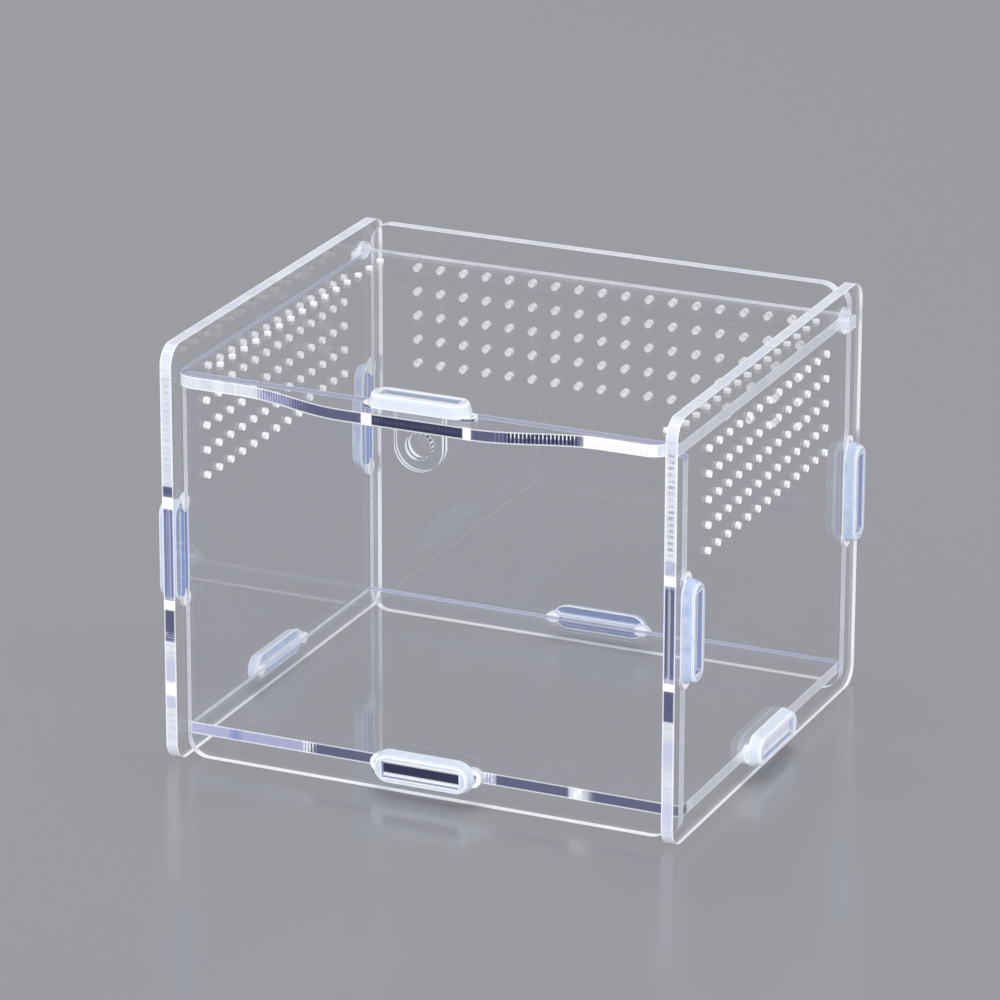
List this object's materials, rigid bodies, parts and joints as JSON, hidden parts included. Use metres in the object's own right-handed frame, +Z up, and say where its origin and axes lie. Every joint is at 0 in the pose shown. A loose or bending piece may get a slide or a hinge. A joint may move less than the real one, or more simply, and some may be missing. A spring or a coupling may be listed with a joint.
{
  "type": "clear pet keeper box",
  "caption": "Clear flat-pack acrylic keeper box for a small pet, with snap-clip joints, vent grids, a raised floor, and a hinged lid with a finger lip and a padlock tab.",
  "frame": {"origin": "on the ground under the middle of the bounding box", "axes": "+Z up, the front with the lock tab faces -Y, +X to the right seen from the front"},
  "size_m": [0.137, 0.123, 0.1045],
  "materials": {
    "clear_acrylic": "clear, polished faces, laser-cut edges",
    "frosted_clip": "frosted translucent moulding"
  },
  "bodies": {
    "box": {"left_side_panel": "clear_acrylic", "right_side_panel": "clear_acrylic", "front_panel": "clear_acrylic", "back_panel": "clear_acrylic", "floor_panel": "clear_acrylic", "front_left_clip": "frosted_clip", "front_right_clip": "frosted_clip", "back_left_clip": "frosted_clip", "back_right_clip": "frosted_clip", "floor_front_clip": "frosted_clip", "floor_back_clip": "frosted_clip", "floor_left_clip": "frosted_clip", "floor_right_clip": "frosted_clip"},
    "lid": {"lid": "clear_acrylic", "lid_clip": "frosted_clip", "lock_tab": "clear_acrylic"}
  },
  "joints": [
    {"name": "lid_hinge", "type": "hinge", "parent": "box", "child": "lid", "pos_m": [0, 0.0504, 0.0966], "axis": [-1, 0, 0], "range_deg": [0, 100]}
  ]
}
